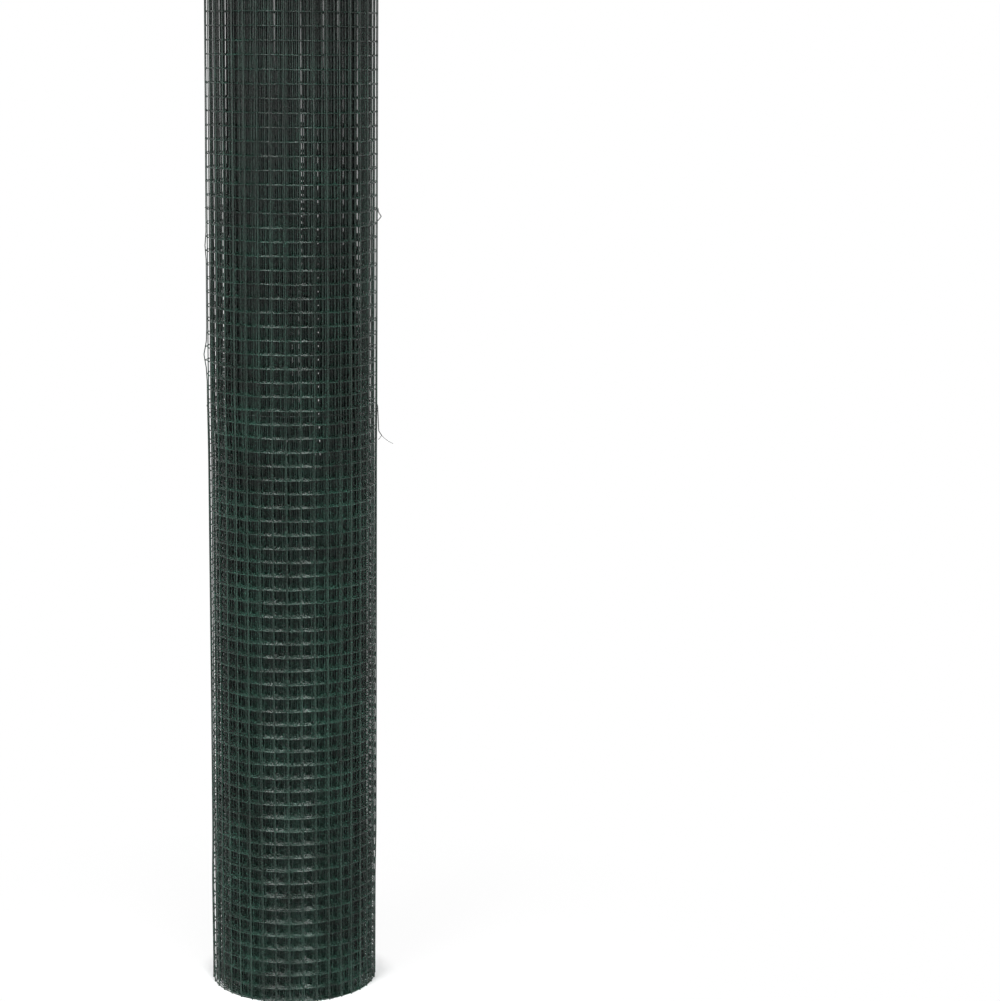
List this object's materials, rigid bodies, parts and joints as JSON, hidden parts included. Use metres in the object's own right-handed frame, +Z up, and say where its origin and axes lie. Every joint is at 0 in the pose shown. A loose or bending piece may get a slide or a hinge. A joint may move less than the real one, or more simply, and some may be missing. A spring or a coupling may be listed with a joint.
{
  "type": "wire fencing roll",
  "caption": "Tightly wound roll of dark green coated, square welded wire mesh for fencing, standing on its end, with an open bore and thin binding wires.",
  "frame": {"origin": "centre of the bore at the end that stands on the floor", "axes": "+Z up along the bore; -Y is the side seen in the picture; the free edge and the twists are near +X"},
  "size_m": [0.173, 0.1586, 1.005],
  "materials": {
    "coated_mesh": "dark green plastic coat, satin",
    "tie_wire": "dull galvanised"
  },
  "bodies": {
    "root": {"mesh_roll": "coated_mesh", "tie_wire_middle": "tie_wire", "tie_wire_upper": "tie_wire"}
  },
  "joints": []
}
